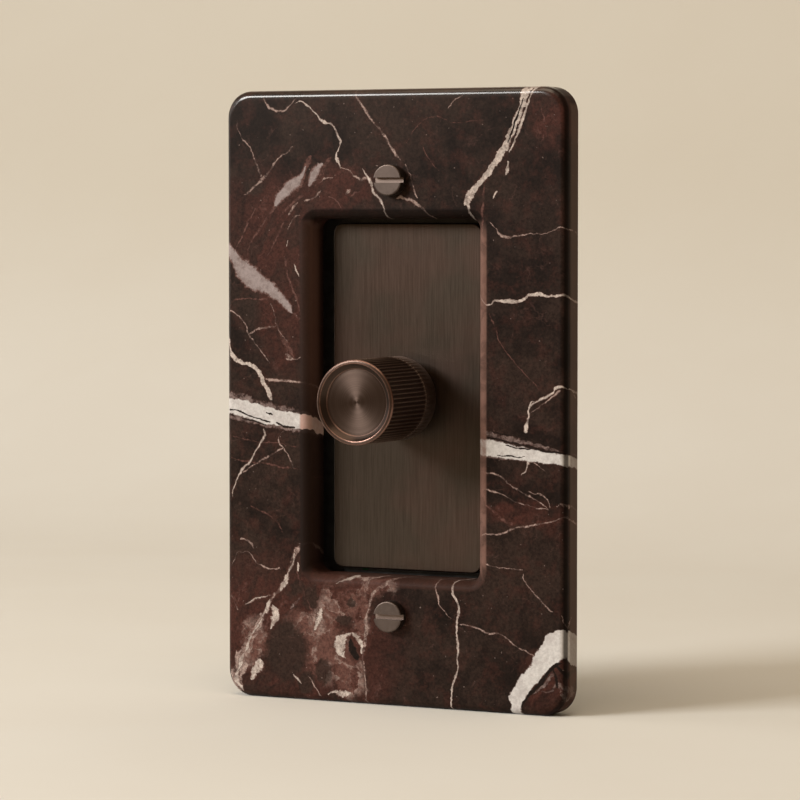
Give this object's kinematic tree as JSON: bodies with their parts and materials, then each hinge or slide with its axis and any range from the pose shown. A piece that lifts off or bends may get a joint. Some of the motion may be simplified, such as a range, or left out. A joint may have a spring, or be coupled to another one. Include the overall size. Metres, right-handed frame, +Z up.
{
  "type": "wall dimmer switch",
  "caption": "Wall dimmer switch: a polished stone cover plate with a window, a brushed bronze insert and a fluted knob that turns to dim and pushes to switch.",
  "frame": {"origin": "middle of the stone plate's back face, on the wall plane", "axes": "+Y into the wall, +Z up along the plate, +X to the right as seen from the room"},
  "size_m": [0.0724, 0.05, 0.118],
  "materials": {
    "polished_marble": "polished dark red marble with white veins",
    "aged_bronze": "dark oil-rubbed bronze, finely brushed",
    "screw_bronze": "bronzed steel",
    "zinc_steel": "zinc-plated steel",
    "turned_brass": "turned brass",
    "earth_green": "green passivated steel",
    "case_black": "moulded black thermoset",
    "control_black": "moulded black epoxy and phenolic",
    "nylon_white": "moulded nylon",
    "contact_bronze": "phosphor bronze",
    "board_green": "glass-epoxy board",
    "spreader_aluminium": "milled aluminium",
    "ferrite_grey": "sintered ferrite",
    "winding_copper": "enamelled copper wire",
    "film_yellow": "epoxy-coated film capacitor",
    "sleeve_blue": "shrink sleeve",
    "fuse_brown": "moulded fuse body"
  },
  "bodies": {
    "base": {"cover_plate": "polished_marble", "insert_plate": "aged_bronze", "cover_screws": "screw_bronze", "mounting_strap": "zinc_steel", "lock_washer": "zinc_steel", "case_screws": "zinc_steel", "triac_screw": "zinc_steel", "bushing": "turned_brass", "bushing_nut": "turned_brass", "terminal_plates": "turned_brass", "terminal_screws": "turned_brass", "pot_pins": "turned_brass", "earth_screw": "earth_green", "front_cover": "case_black", "rear_case": "case_black", "pot_housing": "control_black", "switch_body": "control_black", "triac": "control_black", "control_chip": "control_black", "switch_base": "nylon_white", "fixed_contacts": "contact_bronze", "return_spring": "contact_bronze", "circuit_board": "board_green", "track_board": "board_green", "heat_spreader": "spreader_aluminium", "choke_core": "ferrite_grey", "choke_winding": "winding_copper", "film_capacitor": "film_yellow", "smoothing_capacitor": "sleeve_blue", "board_fuse": "fuse_brown"},
    "rotor": {"wiper_rotor": "nylon_white", "wiper_contact": "contact_bronze"},
    "knob": {"knob": "aged_bronze", "knob_grub_screw": "zinc_steel", "shaft": "turned_brass", "shaft_clip": "zinc_steel"},
    "plunger": {"switch_plunger": "nylon_white", "contact_bridge": "contact_bronze"}
  },
  "joints": [
    {"name": "knob_turn", "type": "hinge", "parent": "base", "child": "rotor", "pos_m": [0, 0, 0], "axis": [0, 1, 0], "range_deg": [-140, 140]},
    {"name": "knob_push", "type": "slide", "parent": "rotor", "child": "knob", "axis": [0, 1, 0], "range_m": [0, 0.0015], "stiffness_N_per_m": 1500, "springref_m": -0.002},
    {"name": "plunger_push", "type": "slide", "parent": "base", "child": "plunger", "axis": [0, 1, 0], "range_m": [0, 0.0015], "deforming": ["return_spring"]}
  ],
  "couplings": [
    {"joint": "plunger_push", "follows": "knob_push", "ratio": 1}
  ]
}
